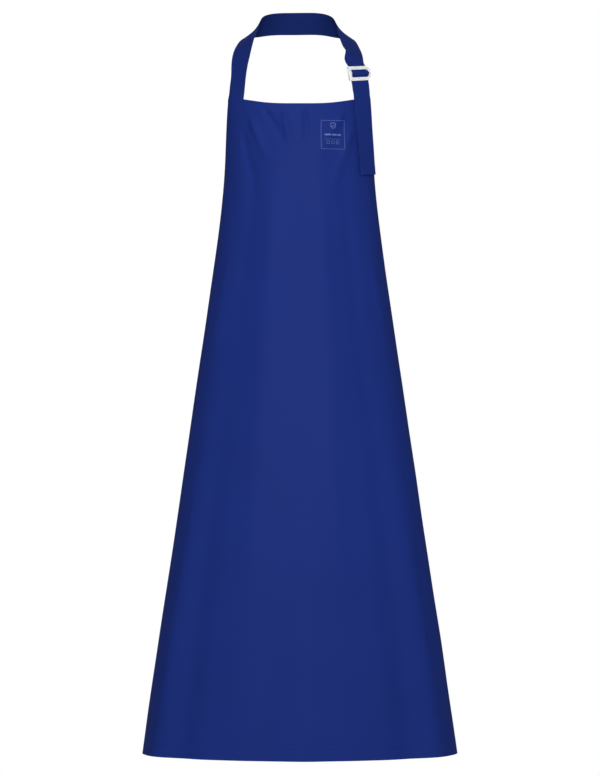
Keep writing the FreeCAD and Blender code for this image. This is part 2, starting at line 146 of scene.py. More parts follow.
def plain(along, drop):
    """Points of the panel without folds, at signed lengths from the centre line."""
    along, drop = np.broadcast_arrays(np.asarray(along, float), np.asarray(drop, float))
    a, b, centre, _ = section(drop)
    size = math.pi / 2 / STEPS
    middle = (np.arange(STEPS) + 0.5) * size
    step = np.hypot(a[..., None] * np.cos(middle), b[..., None] * np.sin(middle)) * size
    total = np.concatenate([np.zeros(step.shape[:-1] + (1,)), np.cumsum(step, axis=-1)], axis=-1)
    far = np.abs(along)
    inside = np.minimum(far, total[..., -1])
    index = np.clip((total < inside[..., None]).sum(axis=-1) - 1, 0, STEPS - 1)
    low = np.take_along_axis(total, index[..., None], axis=-1)[..., 0]
    high = np.take_along_axis(total, index[..., None] + 1, axis=-1)[..., 0]
    angle = (index + (inside - low) / (high - low)) * size
    x = a * np.sin(angle)
    y = centre - b * np.cos(angle)
    rest = np.maximum(far - total[..., -1], 0.0)
    for i in range(BEYOND):
        turn = a / b ** 2 * REACH * (1 - np.exp(-(i + 0.5) * rest / BEYOND / REACH))
        x = x - np.sin(turn) * rest / BEYOND
        y = y + np.cos(turn) * rest / BEYOND
    return np.stack([np.sign(along) * x, y, BIB_TOP - drop], axis=-1)


def crease(along, drop, start, end, width, height):
    """A soft fold from start to end, both (along, drop), that dies away at its ends."""
    start, end = np.array(start), np.array(end)
    line = end - start
    length = np.linalg.norm(line)
    line = line / length
    x, y = along - start[0], drop - start[1]
    run = (x * line[0] + y * line[1]) / length
    off = x * -line[1] + y * line[0]
    wide = width * (0.55 + 0.9 * np.clip(run, 0, 1))
    return height * np.exp(-(off / wide) ** 2) * smooth(run / 0.22) * smooth((1 - run) / 0.55)


# Waves across and down in radians a metre, phase, height in millimetres
WAVES = [(19, 5, 0.3, 0.42), (31, -9, 1.7, 0.30), (11, 13, 4.1, 0.40), (47, 17, 2.2, 0.14),
         (63, -29, 5.0, 0.09), (26, 37, 0.9, 0.16), (88, 21, 3.3, 0.05)]

# Long folds: place across as a share of the half width, width as such a share, height in metres,
# and the share of the length that they start at and take to reach their height
LONG_FOLDS = [
    (-0.24, 0.09, 0.0048, 0.0, 0.25),
    (0.20, 0.09, 0.00432, 0.0, 0.25),
    (-0.02, 0.08, -0.0026, 0.0, 0.3),
    (0.44, 0.07, -0.0022, 0.0, 0.2),
    (-0.46, 0.07, -0.0022, 0.0, 0.2),
    (-0.62, 0.055, 0.0075, 0.3, 0.7),
    (-0.50, 0.06, -0.0060, 0.3, 0.7),
    (0.60, 0.06, 0.0070, 0.3, 0.7),
    (0.47, 0.065, -0.0060, 0.3, 0.7),
    (0.77, 0.08, 0.0030, 0.3, 0.7),
    (-0.77, 0.08, 0.0016, 0.3, 0.7),
    (0.90, 0.04, -0.0040, 0.3, 0.7),
    (-0.91, 0.04, -0.0035, 0.3, 0.7),
    (0.03, 0.08, 0.0040, 0.3, 0.7),
]

# Creases from the bib's edge and corners: start and end as (along, drop), width, height
CREASES = [
    ((-0.098, 0.012), (-0.052, 0.120), 0.009, 0.0042),
    ((-0.070, 0.004), (-0.020, 0.075), 0.007, -0.0034),
    ((-0.030, 0.008), (-0.012, 0.100), 0.008, 0.0040),
    ((0.010, 0.006), (0.016, 0.085), 0.007, -0.0034),
    ((0.088, 0.006), (0.024, 0.110), 0.008, 0.0036),
    ((0.104, 0.030), (0.050, 0.190), 0.010, 0.0032),
    ((-0.112, 0.036), (-0.075, 0.210), 0.011, -0.0032),
    ((-0.135, 0.250), (-0.190, 0.560), 0.016, 0.0020),
    ((0.140, 0.260), (0.200, 0.590), 0.016, 0.0020),
]


def waves(along, drop):
    """Small uneven swells of the cloth."""
    total = np.zeros(np.broadcast(along, drop).shape)
    for across, down, phase, height in WAVES:
        total = total + height * np.sin(across * along + down * drop + phase)
    return total * 0.001


def folds(along, drop):
    """How far the cloth stands in front of the plain panel."""
    share = np.clip(drop / LENGTH, 0, 1)
    u = along / section(drop)[3]
    out = np.zeros(np.shape(u))
    for centre, width, height, start, grows in LONG_FOLDS:
        out = out + height * smooth((share - start) / grows) * bump(u, centre, width)
    swing = np.sin(2 * math.pi * (u * 2.1 + 0.18 * share + 0.1))
    out = out + 0.0048 * smooth((share - 0.3) / 0.7) * swing * (1 - smooth(np.abs(u) / 0.8))
    calm = smooth(drop / 0.02 + 0.35)
    for start, end, width, height in CREASES:
        out = out + calm * crease(along, drop, start, end, width, height)
    return out + waves(along, drop) * (0.35 + 0.65 * share)


def folded(along, drop):
    """Points of the cloth's front face and the way they face."""
    along, drop = np.broadcast_arrays(np.asarray(along, float), np.asarray(drop, float))
    right, left = plain(along + NEAR, drop), plain(along - NEAR, drop)
    up, down = plain(along, drop - NEAR), plain(along, drop + NEAR)
    normal = unit(np.cross(right - left, up - down))
    return plain(along, drop) + normal * folds(along, drop)[..., None], normal


def on_cloth(along, drop, out=0.0):
    """Points this far in front of the cloth's front face, and the way it faces."""
    along, drop = np.asarray(along), np.asarray(drop)
    points, _ = folded(along, drop)
    right, left = folded(along + CLOSE, drop)[0], folded(along - CLOSE, drop)[0]
    up, down = folded(along, drop - CLOSE)[0], folded(along, drop + CLOSE)[0]
    normal = unit(np.cross(right - left, up - down))
    return points + normal * out, normal


def top_drop(u):
    """How far below the middle of the top edge the edge is, u from -1 to 1 across the bib."""
    t = np.abs(u)
    rise = 0.011 * (1 - np.cos(math.pi * np.minimum(t / 0.85, 1.0) ** 1.6)) / 2
    fall = 0.004 * (np.maximum(t - 0.85, 0.0) / 0.15) ** 2
    return fall - rise


# ------------------------------------------------------------------ meshes
def put(name, points, faces, uvs=None, materials=(), index=None, values=None):
    """A smooth mesh object. values is each point's distance to the piece's edge."""
    mesh = bpy.data.meshes.new(name)
    mesh.from_pydata([tuple(p) for p in points], [], faces)
    if uvs is not None:
        layer = mesh.uv_layers.new(name="UVMap")
        corners = np.empty(len(mesh.loops), np.int64)
        mesh.loops.foreach_get("vertex_index", corners)
        layer.data.foreach_set("uv", np.asarray(uvs, np.float32)[corners].ravel())
    if values is not None:
        edge = mesh.attributes.new("edge", "FLOAT", "POINT")
        edge.data.foreach_set("value", np.asarray(values, np.float32))
    for material in materials:
        mesh.materials.append(material)
    if index is not None:
        mesh.polygons.foreach_set("material_index", np.asarray(index, np.int32))
    mesh.polygons.foreach_set("use_smooth", np.ones(len(mesh.polygons), bool))
    mesh.update()
    obj = bpy.data.objects.new(name, mesh)
    bpy.context.scene.collection.objects.link(obj)
    return obj


def face_outwards(mesh):
    """Turns every face of a closed mesh to the outside."""
    work = bmesh.new()
    work.from_mesh(mesh)
    bmesh.ops.recalc_face_normals(work, faces=work.faces)
    work.to_mesh(mesh)
    work.free()


def closed_sheet(name, front, back, uv, materials, edge=None):
    """A closed mesh between two grids of points. Its back takes the second material."""
    rows, cols = front.shape[:2]
    count = rows * cols
    grid = np.arange(count).reshape(rows, cols)
    quads = np.stack([grid[:-1, :-1], grid[1:, :-1], grid[1:, 1:], grid[:-1, 1:]], axis=-1).reshape(-1, 4)
    ring = np.concatenate([grid[0, :], grid[1:, -1], grid[-1, -2::-1], grid[-2:0:-1, 0]])
    following = np.roll(ring, -1)
    wall = np.stack([ring, following, following + count, ring + count], axis=-1)
    faces = np.concatenate([quads, quads[:, ::-1] + count, wall])
    index = np.concatenate([np.zeros(len(quads)), np.ones(len(quads)), np.zeros(len(wall))]).astype(int)
    points = np.concatenate([front.reshape(-1, 3), back.reshape(-1, 3)])
    flat = uv.reshape(-1, 2)
    values = None if edge is None else np.concatenate([edge.ravel(), edge.ravel()])
    obj = put(name, points, faces.tolist(), np.concatenate([flat, flat]), materials, index, values)
    sharp = obj.data.attributes.new("sharp_edge", "BOOLEAN", "EDGE")
    pairs = np.empty(len(obj.data.edges) * 2, np.int64)
    obj.data.edges.foreach_get("vertices", pairs)
    pairs = pairs.reshape(-1, 2)
    on_ring = np.zeros(2 * count, bool)
    on_ring[ring] = on_ring[ring + count] = True
    same_side = (pairs[:, 0] < count) == (pairs[:, 1] < count)
    along_ring = np.isin(np.abs(pairs[:, 0] - pairs[:, 1]), (1, cols))
    sharp.data.foreach_set("value", on_ring[pairs[:, 0]] & on_ring[pairs[:, 1]] & same_side & along_ring)
    return obj


def ribbon(name, path, width, thick, materials, columns=COLUMNS, shape=None, offset=None):
    """A strap along path, a dict of centres, across, face and run. width is one number or one
    for each place. shape(k, s) says how far it stands out at k from -1 to 1 across and s along,
    and offset is added to every place of its middle surface."""
    centres, across, face, run = path["centres"], path["across"], path["face"], path["run"]
    width = np.broadcast_to(np.asarray(width, float), (len(centres),))
    k = across_places(columns)
    middle = centres[:, None] + across[:, None] * (k[None, :, None] * width[:, None, None] / 2)
    if shape is not None:
        middle = middle + face[:, None] * shape(k[None, :], (run - run[0])[:, None])[..., None]
    if offset is not None:
        middle = middle + offset
    half = thick / 2 * np.sqrt(np.clip(1 - np.abs(k) ** 24, 0.15, 1))
    normal = face[:, None] * half[None, :, None]
    uv = np.stack(np.broadcast_arrays(k[None, :] * width[:, None] / 2, run[:, None]), axis=-1)
    edge = (1 - np.abs(k[None, :])) * width[:, None] / 2
    return closed_sheet(name, (middle + normal)[:, ::-1], (middle - normal)[:, ::-1], uv[:, ::-1],
                        materials, edge[:, ::-1])


def across_places(columns):
    return np.sin(np.linspace(-1, 1, columns) * 1.45) / math.sin(1.45)


def path_through(stations, spacing=0.002, guide=0.02):
    """A dense path through stations of (centre, way the outer face looks). Every station is one
    of its places, so that pieces cut there share their end rows."""
    centres = np.array([s[0] for s in stations], float)
    faces = unit(np.array([s[1] for s in stations], float))
    knots = np.concatenate([[0], np.cumsum(np.linalg.norm(np.diff(centres, axis=0), axis=1))])
    at = [0.0]
    for low, high in zip(knots[:-1], knots[1:]):
        at += list(np.linspace(low, high, max(int((high - low) / spacing), 2) + 1)[1:])
    at = np.array(at)
    middle = natural_spline(knots, centres, at)
    pointer = natural_spline(knots, centres + faces * guide, at) - middle
    along = unit(np.gradient(middle, at, axis=0))
    across = unit(np.cross(along, pointer))
    face = unit(np.cross(across, along))
    run = np.concatenate([[0], np.cumsum(np.linalg.norm(np.diff(middle, axis=0), axis=1))])
    return {"centres": middle, "across": across, "face": face, "run": run, "knots": knots, "at": at}


def part_of(path, low, high):
    """The stretch of a path between two lengths."""
    pick = (path["at"] >= low - 1e-9) & (path["at"] <= high + 1e-9)
    return {key: path[key][pick] for key in ("centres", "across", "face", "run", "at")}


# ------------------------------------------------------------------ materials
def srgb(*display):
    """Linear colour from display values of 0 to 255, all bright enough for the curve's power part."""
    return tuple(((c / 255 + 0.055) / 1.055) ** 2.4 for c in display) + (1.0,)


def scaled(colour, factor):
    return tuple(min(c * factor, 1) for c in colour[:3]) + (1.0,)


class Nodes:
    """A material's node tree, built a node at a time."""

    def __init__(self, name):
        self.material = bpy.data.materials.new(name)
        self.material.use_nodes = True
        self.tree = self.material.node_tree
        self.shader = self.tree.nodes["Principled BSDF"]

    def add(self, kind, inputs=(), **settings):
        node = self.tree.nodes.new(kind)
        for key, value in settings.items():
            setattr(node, key, value)
        for key, value in dict(inputs).items():
            self.set(node, key, value)
        return node

    def set(self, node, key, value):
        if isinstance(value, bpy.types.NodeSocket):
            self.tree.links.new(value, node.inputs[key])
        else:
            node.inputs[key].default_value = value

    def math(self, operation, a, b=0.0, c=0.0):
        return self.add("ShaderNodeMath", {0: a, 1: b, 2: c}, operation=operation).outputs[0]

    def noise(self, vector, scale, detail=3.0, rough=0.5):
        inputs = {"Vector": vector, "Scale": scale, "Detail": detail, "Roughness": rough}
        return self.add("ShaderNodeTexNoise", inputs).outputs["Fac"]

    def bump(self, height, strength, distance, normal=None, invert=False):
        inputs = {"Height": height, "Strength": strength, "Distance": distance}
        if normal is not None:
            inputs["Normal"] = normal
        return self.add("ShaderNodeBump", inputs, invert=invert).outputs["Normal"]

    def weave(self, uv, scale, direction):
        inputs = {"Vector": uv, "Scale": scale, "Distortion": 0.6, "Detail": 1.0, "Detail Scale": 2.0}
        node = self.add("ShaderNodeTexWave", inputs, wave_type="BANDS", bands_direction=direction,
                        wave_profile="SIN")
        return node.outputs["Fac"]

    def blend(self, factor, a, b):
        node = self.add("ShaderNodeMix", data_type="RGBA")
        self.set(node, 0, factor)
        self.set(node, 6, a)
        self.set(node, 7, b)
        return node.outputs[2]

    def band(self, value, centre, half, soft):
        """1 within half of centre, falling to 0 over soft."""
        away = self.math("ABSOLUTE", self.math("SUBTRACT", value, centre))
        inputs = {"Value": away, "From Min": half, "From Max": half + soft, "To Min": 1.0, "To Max": 0.0}
        return self.add("ShaderNodeMapRange", inputs, interpolation_type="SMOOTHSTEP").outputs["Result"]


def fabric(name, colour, weave, rough, specular, weld=None, variation=0.10, relief=1.0, sheen=0.0):
    """Coated or woven cloth. UVs are metres on the flat cloth, and the attribute "edge" is the
    distance to the nearest edge; weld is (distance from the edge, half width) of a pressed weld."""
    n = Nodes(name)
    uv = n.add("ShaderNodeUVMap").outputs["UV"]
    place = n.add("ShaderNodeTexCoord").outputs["Object"]
    dark = scaled(colour, 1 - variation)
    light = scaled(colour, 1 + variation)
    broad = n.noise(place, 9.0, 3.0, 0.55)
    fine = n.noise(uv, 420.0, 2.0, 0.6)
    mixed = n.math("ADD", n.math("MULTIPLY", broad, 0.75), n.math("MULTIPLY", fine, 0.25))
    base = n.blend(mixed, dark, light)
    threads = n.math("MAXIMUM", n.weave(uv, weave, "X"), n.weave(uv, weave, "Y"))
    height = n.math("ADD", n.math("MULTIPLY", threads, 0.5), n.math("MULTIPLY", fine, 0.5))
    normal = n.bump(height, 0.10 * relief, 0.0003)
    normal = n.bump(n.noise(place, 38.0, 3.0, 0.5), 0.25 * relief, 0.0012, normal)
    roughness = n.math("ADD", rough - 0.05, n.math("MULTIPLY", broad, 0.10))
    if weld is not None:
        edge = n.add("ShaderNodeAttribute", attribute_name="edge").outputs["Fac"]
        pressed = n.band(edge, weld[0], weld[1], 0.0006)
        base = n.blend(n.math("MULTIPLY", pressed, 0.16), base, dark)
        normal = n.bump(pressed, 0.5, 0.0003, normal, invert=True)
        roughness = n.math("SUBTRACT", roughness, n.math("MULTIPLY", pressed, 0.05))
    n.set(n.shader, "Base Color", base)
    n.set(n.shader, "Roughness", roughness)
    n.set(n.shader, "Specular IOR Level", specular)
    n.set(n.shader, "Normal", normal)
    if sheen:
        n.set(n.shader, "Sheen Weight", sheen)
        n.set(n.shader, "Sheen Roughness", 0.5)
    return n.material


def glowing_plastic(name, colour):
    n = Nodes(name)
    place = n.add("ShaderNodeTexCoord").outputs["Object"]
    mottled = n.noise(place, 260.0, 2.0, 0.5)
    n.set(n.shader, "Base Color", n.blend(mottled, scaled(colour, 0.97), colour))
    n.set(n.shader, "Roughness", n.math("ADD", 0.26, n.math("MULTIPLY", mottled, 0.10)))
    n.set(n.shader, "Specular IOR Level", 0.45)
    n.set(n.shader, "Normal", n.bump(n.noise(place, 900.0, 2.0, 0.5), 0.12, 0.0002))
    # Painted light: the buckle glows faintly in its own colour, so it looks brighter than the lamps alone
    # make it.
    n.set(n.shader, "Emission Color", colour)
    n.set(n.shader, "Emission Strength", 0.10)
    return n.material


def print_ink(name, colour):
    n = Nodes(name)
    place = n.add("ShaderNodeTexCoord").outputs["Object"]
    worn = n.noise(place, 700.0, 3.0, 0.6)
    n.set(n.shader, "Base Color", n.blend(worn, scaled(colour, 0.75), colour))
    n.set(n.shader, "Roughness", 0.6)
    n.set(n.shader, "Specular IOR Level", 0.2)
    return n.material


WEAVE = 330.0       # scale of the weave's bands
COAT = fabric("coated_face", srgb(30, 51, 131), WEAVE, 0.60, 0.05, weld=(0.0205, 0.0011))
BACK = fabric("woven_back", srgb(28, 46, 112), WEAVE, 0.85, 0.05, relief=3.0, sheen=0.05)
STRAP = fabric("strap_face", srgb(30, 51, 131), WEAVE, 0.60, 0.06, weld=(0.0034, 0.0005))
# The strap's woven back. Its colour is also darkened to paint shade on the inside of the neck loop.
STRAP_BACK_PAINTED_SHADE = fabric("strap_back_painted_shade", srgb(26, 43, 108), WEAVE, 0.80, 0.04, relief=2.0)
TIE = fabric("tie_face", srgb(30, 50, 128), WEAVE, 0.60, 0.06, weld=(0.0026, 0.0004))
HEM = fabric("hem_face", srgb(29, 49, 125), WEAVE, 0.60, 0.06, weld=(0.0100, 0.0022))
WHITE = glowing_plastic("white_buckle_painted_glow", srgb(252, 252, 253))
INK = print_ink("label_ink", srgb(118, 134, 196))


# ------------------------------------------------------------------ the panel and its hems
def panel():
    """The whole cut, with its places closer together towards the sides and the top."""
    u = np.sin(np.linspace(-1, 1, 241) * 1.30) / math.sin(1.30)
    t = np.linspace(0, 1, 281) ** 1.25
    start = top_drop(u)
    drop = start[None, :] + (LENGTH - start[None, :]) * t[:, None]
    half = section(drop)[3]
    along = u[None, :] * half
    front, normal = on_cloth(along, drop)
    edge = np.minimum(np.minimum(half - np.abs(along), drop - start[None, :]), LENGTH - drop)
    back = front - normal * FABRIC
    uv = np.stack([along, -drop], axis=-1)
    return closed_sheet("apron_cloth", front, back, uv, (COAT, BACK), edge)


def layer(name, along, drop, out, thick, materials):
    """A thin layer on the cloth, its front face this far in front of it."""
    front, normal = on_cloth(along, drop, out)
    back = front - normal * thick
    uv = np.stack([along, -drop], axis=-1)
    width = np.abs(along - along[:, :1])
    high = np.abs(drop - drop[:1])
    edge = np.minimum(np.minimum(width, width.max(axis=1, keepdims=True) - width),
                      np.minimum(high, high.max(axis=0, keepdims=True) - high))
    return closed_sheet(name, front, back, uv, materials, edge)


BEHIND = -FABRIC - 0.00015      # the front of the hems, just behind the panel's back
HEM_THICK = 0.0005
SIDE_HEM = 0.020
TOP_HEM = 0.029
LOW_HEM = 0.024
SIDE_ROOM = 0.0208              # from the panel's side to the end of a level hem


def side_hem(side, name):
    """Folded back down one side of the panel, from just under the bib's edge to the bottom."""
    t = np.linspace(0, 1, 221)[:, None] ** 1.2
    k = np.linspace(0, 1, 9)[None, :]
    start = top_drop(0.95) + 0.001
    drop = start + (LENGTH - start) * t + 0 * k
    half = section(drop)[3]
    along = side * (half - 0.0004 - SIDE_HEM * (1 - k if side > 0 else k))
    return layer(name, along, drop, BEHIND, HEM_THICK, (HEM, HEM))


def level_hem(name, width, from_top):
    k = np.linspace(0, 1, 7)[:, None]
    reach = np.linspace(-1, 1, 181)[None, :]
    if from_top:
        u = reach * (1 - 0.0210 / TOP_HALF)
        drop = top_drop(u) + 0.0005 + width * k
        along = u * section(drop)[3]
        along = np.sign(along) * np.minimum(np.abs(along), section(drop)[3] - SIDE_ROOM)
    else:
        drop = LENGTH - 0.0005 - width * (1 - k) + 0 * reach
        along = reach * (section(drop)[3] - SIDE_ROOM)
    return layer(name, along, drop, BEHIND, HEM_THICK, (HEM, HEM))


cloth = panel()
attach(cloth, "apron")
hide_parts("apron_panel")
for made, node in ((side_hem(1, "hem_strip_left"), "hem_left"),
                   (side_hem(-1, "hem_strip_right"), "hem_right"),
                   (level_hem("hem_strip_top", TOP_HEM, True), "hem_top"),
                   (level_hem("hem_strip_bottom", LOW_HEM, False), "hem_bottom")):
    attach(made, "apron")
    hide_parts(node)


# ------------------------------------------------------------------ the label, a printed mark
def along_at(x, drop):
    """The length across the cloth at which it reaches this x."""
    tries = np.linspace(0, 0.14, 281)
    return float(np.interp(x, plain(tries, np.full(281, drop))[:, 0], tries))


LABEL_LOW, LABEL_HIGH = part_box("label")
LABEL_MID = (LABEL_LOW + LABEL_HIGH) / 2
LABEL_DROP = BIB_TOP - LABEL_MID.z
LABEL_ALONG = along_at(LABEL_MID.x, LABEL_DROP)
LABEL_WIDE, LABEL_TALL = 0.0445, 0.052
INK_FRONT, INK_THICK = 0.00022, 0.00020
STROKE_STEP = 0.0012        # between places along a stroke, so that it follows the cloth


def stroke(points, width, closed=False):
    """A printed line through points on the label, from its middle, in metres: x right, y up."""
    points = np.array(points, float)
    if closed:
        points = np.vstack([points, points[:1]])
    dense = [points[0]]
    for a, b in zip(points[:-1], points[1:]):
        steps = max(int(np.linalg.norm(b - a) / STROKE_STEP), 1)
        dense += [a + (b - a) * (i + 1) / steps for i in range(steps)]
    dense = np.array(dense)
    if closed:
        line = unit(np.roll(dense[:-1], -1, axis=0) - np.roll(dense[:-1], 1, axis=0))
        line = np.vstack([line, line[:1]])
    else:
        line = unit(np.gradient(dense, axis=0))
    side = np.stack([-line[:, 1], line[:, 0]], axis=-1) * width / 2
    return np.stack([dense + side, dense - side], axis=1)


# The shield, the tick in it and the bars' ends, from the label's middle, in millimetres
SHIELD = [(-4.2, 20.5), (0, 22.0), (4.2, 20.5), (4.0, 15.8), (2.4, 12.8), (0, 11.0), (-2.4, 12.8),
          (-4.0, 15.8)]
TICK = [(-1.8, 16.5), (-0.2, 14.7), (2.4, 18.4)]
BARS = [(-15.5, -4.5), (-2.5, 7.0), (9.0, 15.5)]


def frame_stroke(x, y, wide, tall):
    w, h = wide / 2, tall / 2
    return stroke([(x - w, y - h), (x + w, y - h), (x + w, y + h), (x - w, y + h)], 0.0006, True)


def label_strokes():
    """A frame with a shield, three bars, a thin line and three squares. It has no lettering."""
    made = [frame_stroke(0.0, 0.0, LABEL_WIDE, LABEL_TALL)]
    made.append(stroke(np.array(SHIELD) / 1000, 0.0010, True))
    made.append(stroke(np.array(TICK) / 1000, 0.0008))
    for low, high in BARS:
        made.append(stroke([(low / 1000, 0.0), (high / 1000, 0.0)], 0.0030))
    made.append(stroke([(-0.0165, -0.0080), (0.0165, -0.0080)], 0.0004))
    for x in (-0.0095, 0.0, 0.0095):
        made.append(frame_stroke(x, -0.0139, 0.0052, 0.0052))
    return made


def label():
    points, faces, uvs = [], [], []
    for grid in label_strokes():
        rows = len(grid)
        flat = grid.reshape(-1, 2)
        front, normal = on_cloth(LABEL_ALONG + flat[:, 0], LABEL_DROP - flat[:, 1], INK_FRONT)
        back = front - normal * INK_THICK
        base = len(points)
        points += list(front) + list(back)
        uvs += list(flat) + list(flat)
        m = 2 * rows
        for i in range(rows - 1):
            a, b, c, d = base + 2 * i, base + 2 * i + 1, base + 2 * i + 3, base + 2 * i + 2
            faces += [(a, b, c, d), (d + m, c + m, b + m, a + m), (a, d, d + m, a + m), (c, b, b + m, c + m)]
    return put("label_print", points, faces, uvs, (INK,))


mark = label()
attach(mark, "apron")
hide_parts("label")


# ------------------------------------------------------------------ the buckle's own frame
# X across the strap, Y inwards, Z up the strap, in millimetres
YAW, PITCH, ROLL = 42.0, 8.0, 6.0
TURN = (Matrix.Rotation(math.radians(YAW), 3, "Z") @ Matrix.Rotation(math.radians(-PITCH), 3, "X")
        @ Matrix.Rotation(math.radians(-ROLL), 3, "Y"))
TURN = np.array(TURN)
BUCKLE_AT = np.array(TILT["pos_m"], float)


def in_buckle(points):
    """Points of the buckle's frame as places of the whole model, in metres."""
    return BUCKLE_AT + (np.asarray(points, float) / 1000) @ TURN.T


def buckle_way(y, z):
    """A direction in the buckle's Y and Z as one of the whole model."""
    return np.array([0.0, y, z]) @ TURN.T


def through_buckle(points, side):
    """Stations at these (y, z), facing right of the way that they run, or left where side is -1."""
    stations = []
    for i, (y, z) in enumerate(points):
        before, after = points[max(i - 1, 0)], points[min(i + 1, len(points) - 1)]
        ty, tz = after[0] - before[0], after[1] - before[1]
        stations.append((in_buckle((0, y, z)), buckle_way(side * tz, -side * ty)))
    return stations


# ------------------------------------------------------------------ the neck strap
# (centre in millimetres, the way the outer face looks), from the right weld to the buckle
OVER_THE_NECK = [
    ((-114.6, -159.5, -135.0), (-0.72, -0.68, 0.14)),
    ((-111.4, -152.0, -110.0), (-0.70, -0.64, 0.28)),
    ((-108.8, -137.0, -85.0), (-0.58, -0.64, 0.48)),
    ((-105.0, -115.0, -61.0), (-0.52, -0.58, 0.63)),
    ((-99.0, -89.0, -41.0), (-0.55, -0.40, 0.73)),
    ((-91.5, -64.0, -26.5), (-0.62, -0.24, 0.75)),
    ((-72.5, -33.0, -10.0), (-0.80, 0.40, 0.42)),
    ((-46.0, -9.5, -2.0), (-0.42, 0.86, 0.30)),
    ((-3.0, 0.45, 0.0), (0.0, 0.98, 0.20)),
    ((41.0, -9.5, -2.0), (0.42, 0.86, 0.30)),
    ((66.5, -33.0, -11.5), (0.80, 0.40, 0.42)),
    ((85.0, -63.0, -26.5), (0.62, -0.24, 0.75)),
    ((91.0, -88.0, -41.0), (0.52, -0.42, 0.75)),
    ((95.0, -108.5, -53.5), (0.50, -0.54, 0.68)),
    ((99.0, -127.0, -66.0), (0.54, -0.64, 0.55)),
    ((101.8, -141.0, -77.0), (0.60, -0.68, 0.42)),
]
# Its middle in the buckle's frame, (y, z), from above: behind the upper bar, over the tab's
# loop on the centre bar, behind the lower bar
THREADED = [(5.4, 15.4), (3.4, 12.6), (2.65, 9.5), (2.5, 6.9), (1.2, 5.0), (-0.9, 3.7), (-2.6, 2.1),
            (-3.25, 0.0), (-2.6, -2.1), (-0.9, -3.7), (1.2, -5.0), (2.5, -6.9), (2.65, -9.5),
            (2.5, -12.5), (2.5, -15.5)]
# (x, z, degrees its face is turned from the front, distance from the panel) of the hanging end
HANGING = [(115.2, -160, 43.0, 3.2), (117.6, -187, 44.5, 3.2), (120.6, -220, 46.5, 3.4),
           (123.4, -253, 48.0, 3.8), (125.6, -281, 49.0, 4.2), (126.9, -297, 49.0, 4.4)]


def clear_of_panel(x, z, yaw, gap):
    """A station that faces yaw from the front and clears the panel's section by gap."""
    a, b, centre, _ = section(BIB_TOP - z)
    nx, ny = math.sin(math.radians(yaw)), -math.cos(math.radians(yaw))
    reach = ny * centre + math.hypot(a * nx, b * ny) + gap
    return (x, (reach - nx * x) / ny, z), (nx, ny, 0.0)


def strap_end(side, count):
    """Rows of the strap's middle surface where it is welded on the bib, from the top down."""
    middle = side * (TOP_HALF - STRAP_INSET)
    k = across_places(COLUMNS)
    top = float(top_drop(np.array(middle / TOP_HALF)))
    down = np.linspace(0.0, WELD, count)[:, None]
    along = middle + k[None, :] * STRAP_WIDE / 2 + 0 * down
    return on_cloth(along, top + down + 0 * along, WELD_OUT), k, down


def row_offset(path, row, reach):
    """Turns the path's first row into the given row, and lets the change die away."""
    k = across_places(len(row))
    first = path["centres"][0] + path["across"][0] * (k[:, None] * STRAP_WIDE / 2)
    s = path["run"] - path["run"][0]
    return (row - first)[None] * (1 - smooth(s / reach))[:, None, None]


def welded_end(name, side):
    (middle, normal), k, down = strap_end(side, 13)
    uv = np.stack(np.broadcast_arrays(k[None, :] * STRAP_WIDE / 2, -down), axis=-1)
    edge = np.minimum((1 - np.abs(k[None, :])) * STRAP_WIDE / 2 + 0 * down, WELD - down)
    half = STRAP_THICK * 0.4
    return closed_sheet(name, middle + normal * half, middle - normal * half, uv, (STRAP, STRAP), edge)


def neck_path():
    """The strap's path, its first row on the bib, and the lengths that it is cut at."""
    (rows, normals), k, _ = strap_end(-1, 5)
    middle = len(k) // 2
    stations = [(rows[0, middle], normals[0, middle])]
    stations += [(np.array(c) / 1000, f) for c, f in OVER_THE_NECK]
    cuts = {"weld": 0, "right": 7, "left": len(stations) - 5, "buckle": len(stations)}
    stations += through_buckle(THREADED, 1)
    cuts["bar"] = cuts["buckle"] + 7
    cuts["exit"] = len(stations) - 1
    stations += [clear_of_panel(x / 1000, z / 1000, yaw, gap / 1000) for x, z, yaw, gap in HANGING]
    cuts["tip"], cuts["end"] = len(stations) - 2, len(stations) - 1
    path = path_through(stations)
    return path, rows[0], {name: path["knots"][i] for name, i in cuts.items()}


NECK, WELD_ROW, CUT = neck_path()


def strap_piece(name, low, high, node, thick=STRAP_THICK, first_row=None):
    """The neck strap between two cuts. first_row is where its first places have to lie."""
    part = part_of(NECK, CUT[low], CUT[high])
    offset = None if first_row is None else row_offset(part, first_row, 0.035)
    obj = ribbon(name, part, STRAP_WIDE, thick, (STRAP, STRAP_BACK_PAINTED_SHADE), offset=offset)
    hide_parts(node)
    return obj, part


anchor = welded_end("strap_weld_right", -1)
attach(anchor, "apron")
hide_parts("neck_strap_anchor")

riser_right, run_right = strap_piece("strap_right", "weld", "right", "neck_strap_riser_right",
                                     first_row=WELD_ROW)
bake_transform(riser_right)
nape, run_nape = strap_piece("strap_nape", "right", "left", "neck_strap_nape")
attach(nape, "neck_loop")
riser_left, run_left = strap_piece("strap_left", "left", "buckle", "neck_strap_riser_left")
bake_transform(riser_left)
above, run_above = strap_piece("strap_threaded_upper", "buckle", "bar", "neck_strap_bight")
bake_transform(above)
below, run_below = strap_piece("strap_threaded_lower", "bar", "exit", "neck_strap_bight")
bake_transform(below)
tail, run_tail = strap_piece("strap_tail", "exit", "tip", "neck_strap_tail")
tip, run_tip = strap_piece("strap_tip", "tip", "end", "neck_strap_tip", thick=0.0019)
for piece in (tail, tip):
    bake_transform(piece)


